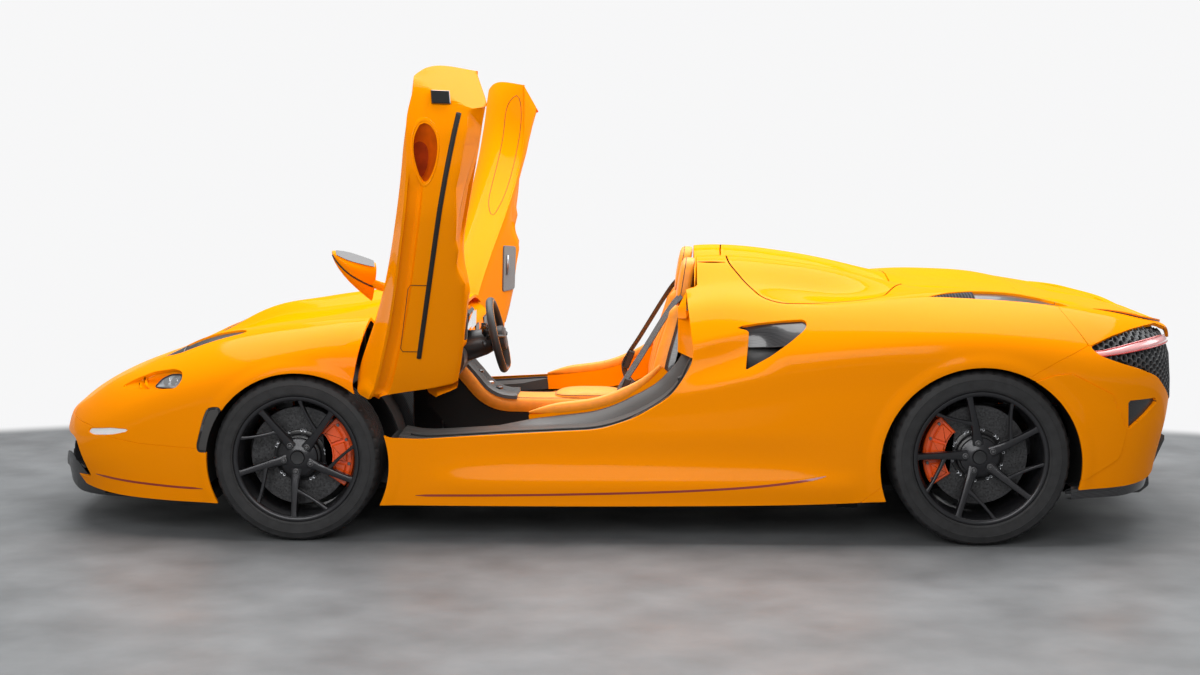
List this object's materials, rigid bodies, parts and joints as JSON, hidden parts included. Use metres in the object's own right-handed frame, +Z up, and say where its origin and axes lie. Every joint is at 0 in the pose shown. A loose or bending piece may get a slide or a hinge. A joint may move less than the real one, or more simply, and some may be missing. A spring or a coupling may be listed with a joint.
{
  "type": "supercar",
  "caption": "Low open two-seat mid-engined sports car with upswinging doors, twin rear fairings and wide road wheels.",
  "frame": {"origin": "on the ground under the middle of the car's box", "axes": "+Z up, the nose points to -X, the car's left side is -Y"},
  "size_m": [4.624, 3.1578, 1.8478],
  "materials": {
    "paint": "gloss metallic orange",
    "black_trim": "satin black",
    "carbon": "woven carbon under clear coat",
    "liner": "matt moulded",
    "lamp": "clear lens over a dark housing",
    "tail_lamp": "smoked red lens",
    "tyre": "matt rubber",
    "rim": "satin graphite",
    "brake_disc": "ground carbon ceramic",
    "caliper": "gloss orange-red",
    "alloy": "cast and machined",
    "engine": "cast",
    "exhaust": "brushed",
    "leather": "fine grain",
    "suede": "brushed suede",
    "webbing": "woven webbing"
  },
  "bodies": {
    "root": {"underfloor": "carbon", "front_bumper": "paint", "front_clamshell": "paint", "headlamps": "lamp", "black_vents": "black_trim", "rear_clamshell": "paint", "tail_lamps": "tail_lamp", "rear_grille": "black_trim", "tail_deck": "paint", "rear_bumper": "paint", "side_intakes": "black_trim", "arch_liners": "liner", "front_splitter": "carbon", "diffuser": "carbon", "tub": "carbon", "front_frame": "alloy", "rear_frame": "alloy", "engine": "engine", "exhaust": "exhaust", "sill_trims": "black_trim", "sill_pads": "leather", "dashboard": "suede", "console": "leather", "seat_shells": "carbon", "headrests": "leather", "seat_pads": "leather", "seat_belts": "webbing", "pedals": "alloy", "suspension": "alloy", "hinge_brackets": "alloy", "upright_rear_left": "alloy", "upright_rear_right": "alloy", "caliper_rear_left": "caliper", "caliper_rear_right": "caliper"},
    "door_left": {"door_shell_left": "paint", "door_trim_left": "paint", "door_mirror_left": "paint"},
    "knuckle_left": {"upright_front_left": "alloy", "caliper_front_left": "caliper"},
    "wheel_front_left": {"rim_front_left": "rim", "tyre_front_left": "tyre", "disc_front_left": "brake_disc"},
    "wheel_rear_left": {"rim_rear_left": "rim", "tyre_rear_left": "tyre", "disc_rear_left": "brake_disc"},
    "door_right": {"door_shell_right": "paint", "door_trim_right": "paint", "door_mirror_right": "paint"},
    "knuckle_right": {"upright_front_right": "alloy", "caliper_front_right": "caliper"},
    "wheel_front_right": {"rim_front_right": "rim", "tyre_front_right": "tyre", "disc_front_right": "brake_disc"},
    "wheel_rear_right": {"rim_rear_right": "rim", "tyre_rear_right": "tyre", "disc_rear_right": "brake_disc"},
    "tonneau": {"tonneau_lid": "paint"},
    "steering": {"steering_wheel": "suede"}
  },
  "joints": [
    {"name": "steer_left", "type": "hinge", "parent": "root", "child": "knuckle_left", "pos_m": [-1.2105, -0.765, 0.328], "axis": [0, 0, 1], "range_deg": [-28, 28]},
    {"name": "spin_front_left", "type": "hinge", "parent": "knuckle_left", "child": "wheel_front_left", "pos_m": [-1.2105, -0.86, 0.328], "axis": [0, 1, 0], "continuous": true},
    {"name": "spin_rear_left", "type": "hinge", "parent": "root", "child": "wheel_rear_left", "pos_m": [1.4595, -0.86, 0.346], "axis": [0, 1, 0], "continuous": true},
    {"name": "steer_right", "type": "hinge", "parent": "root", "child": "knuckle_right", "pos_m": [-1.2105, 0.765, 0.328], "axis": [0, 0, 1], "range_deg": [-28, 28]},
    {"name": "spin_front_right", "type": "hinge", "parent": "knuckle_right", "child": "wheel_front_right", "pos_m": [-1.2105, 0.86, 0.328], "axis": [0, 1, 0], "continuous": true},
    {"name": "spin_rear_right", "type": "hinge", "parent": "root", "child": "wheel_rear_right", "pos_m": [1.4595, 0.86, 0.346], "axis": [0, 1, 0], "continuous": true},
    {"name": "door_left_hinge", "type": "hinge", "parent": "root", "child": "door_left", "pos_m": [-0.898, -0.881, 0.732], "axis": [0.4241, 0.5496, 0.7198], "range_deg": [0, 88.7]},
    {"name": "door_right_hinge", "type": "hinge", "parent": "root", "child": "door_right", "pos_m": [-0.898, 0.881, 0.732], "axis": [-0.4241, 0.5496, -0.7198], "range_deg": [0, 88.7]},
    {"name": "tonneau_hinge", "type": "hinge", "parent": "root", "child": "tonneau", "pos_m": [0.98, 0, 0.884], "axis": [0, 1, 0], "range_deg": [0, 45]},
    {"name": "steering_turn", "type": "hinge", "parent": "root", "child": "steering", "pos_m": [-0.46, -0.37, 0.748], "axis": [0.9744, 0, 0.225], "range_deg": [-450, 450]}
  ],
  "couplings": [
    {"joint": "steer_right", "follows": "steer_left", "ratio": 1},
    {"joint": "steering_turn", "follows": "steer_left", "ratio": 16}
  ]
}
